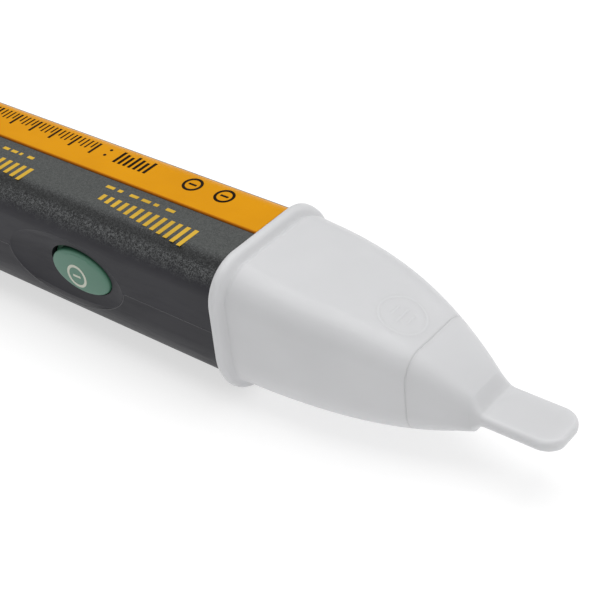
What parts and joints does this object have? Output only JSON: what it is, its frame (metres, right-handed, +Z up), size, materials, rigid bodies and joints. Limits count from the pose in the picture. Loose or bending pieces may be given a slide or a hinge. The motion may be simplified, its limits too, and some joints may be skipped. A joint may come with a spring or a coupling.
{
  "type": "non contact voltage tester",
  "caption": "Pen shaped non contact voltage tester with a tapered white nose, flat round-ended probe, oval push button, raised side strip, pocket clip and pull-off battery cap.",
  "frame": {"origin": "middle of the flat underside of the collar ring, one of the two places the tester lies on", "axes": "+X along the tester towards the probe, +Z up out of the face with the strip, -Y out of the side with the push button"},
  "size_m": [0.148, 0.0279, 0.0264],
  "materials": {
    "grey_housing": "spark-eroded texture",
    "dark_housing": "satin",
    "yellow_strip": "satin gloss",
    "white_nose": "satin, slightly translucent",
    "rubber_seal": "matt",
    "green_button": "satin",
    "silicone_pad": "matt",
    "board": "solder mask",
    "black_plastic": "satin",
    "plunger_plastic": "satin",
    "red_lens": "clear red",
    "clear_acrylic": "polished",
    "contact_metal": "nickel plated",
    "steel": "zinc plated",
    "red_wire": "insulation",
    "black_wire": "insulation",
    "resistor_body": "lacquered",
    "cell_sleeve": "shrink sleeve",
    "clip_plastic": "satin gloss"
  },
  "bodies": {
    "case": {"upper_housing": "grey_housing", "lower_housing": "dark_housing", "accent_strip": "yellow_strip", "nose_cone": "white_nose", "probe_tip": "white_nose", "nose_gasket": "rubber_seal", "button_pad": "silicone_pad", "circuit_board": "board", "switch_base": "black_plastic", "led_lamp": "red_lens", "light_guide": "clear_acrylic", "buzzer_case": "black_plastic", "sensor_antenna": "contact_metal", "antenna_lead": "red_wire", "controller_chip": "black_plastic", "filter_capacitor": "steel", "sense_resistor": "resistor_body", "battery_cell_upper": "cell_sleeve", "battery_cell_lower": "cell_sleeve", "cell_carrier": "black_plastic", "front_contact_plate": "contact_metal", "front_contact_spring": "contact_metal", "positive_lead": "red_wire", "negative_lead": "black_wire", "clip_bracket": "clip_plastic", "clip_screw_1": "steel", "clip_screw_2": "steel", "case_screw_1": "steel", "case_screw_2": "steel"},
    "battery_cap": {"battery_cap": "dark_housing", "cap_seal": "rubber_seal", "bridge_contact": "contact_metal", "bridge_spring": "contact_metal"},
    "power_button": {"power_button": "green_button"},
    "switch_plunger": {"switch_plunger": "plunger_plastic"},
    "pocket_clip": {"pocket_clip": "clip_plastic"}
  },
  "joints": [
    {"name": "power_button_press", "type": "slide", "parent": "case", "child": "power_button", "axis": [0, 1, 0], "range_m": [0, 0.0008], "stiffness_N_per_m": 1500, "springref_m": -0.0002, "deforming": ["button_pad"]},
    {"name": "switch_plunger_travel", "type": "slide", "parent": "case", "child": "switch_plunger", "axis": [0, 1, 0], "range_m": [0, 0.00025]},
    {"name": "pocket_clip_flex", "type": "hinge", "parent": "case", "child": "pocket_clip", "pos_m": [-0.0763, 0.0129, 0.01395], "axis": [0, 0, 1], "range_deg": [0, 7], "stiffness_Nm_per_rad": 1.2, "springref_deg": -1.15},
    {"name": "battery_cap_pull", "type": "slide", "parent": "case", "child": "battery_cap", "axis": [-1, 0, 0], "range_m": [0, 0.012]}
  ],
  "couplings": [
    {"joint": "switch_plunger_travel", "follows": "power_button_press", "ratio": 0.3125}
  ]
}
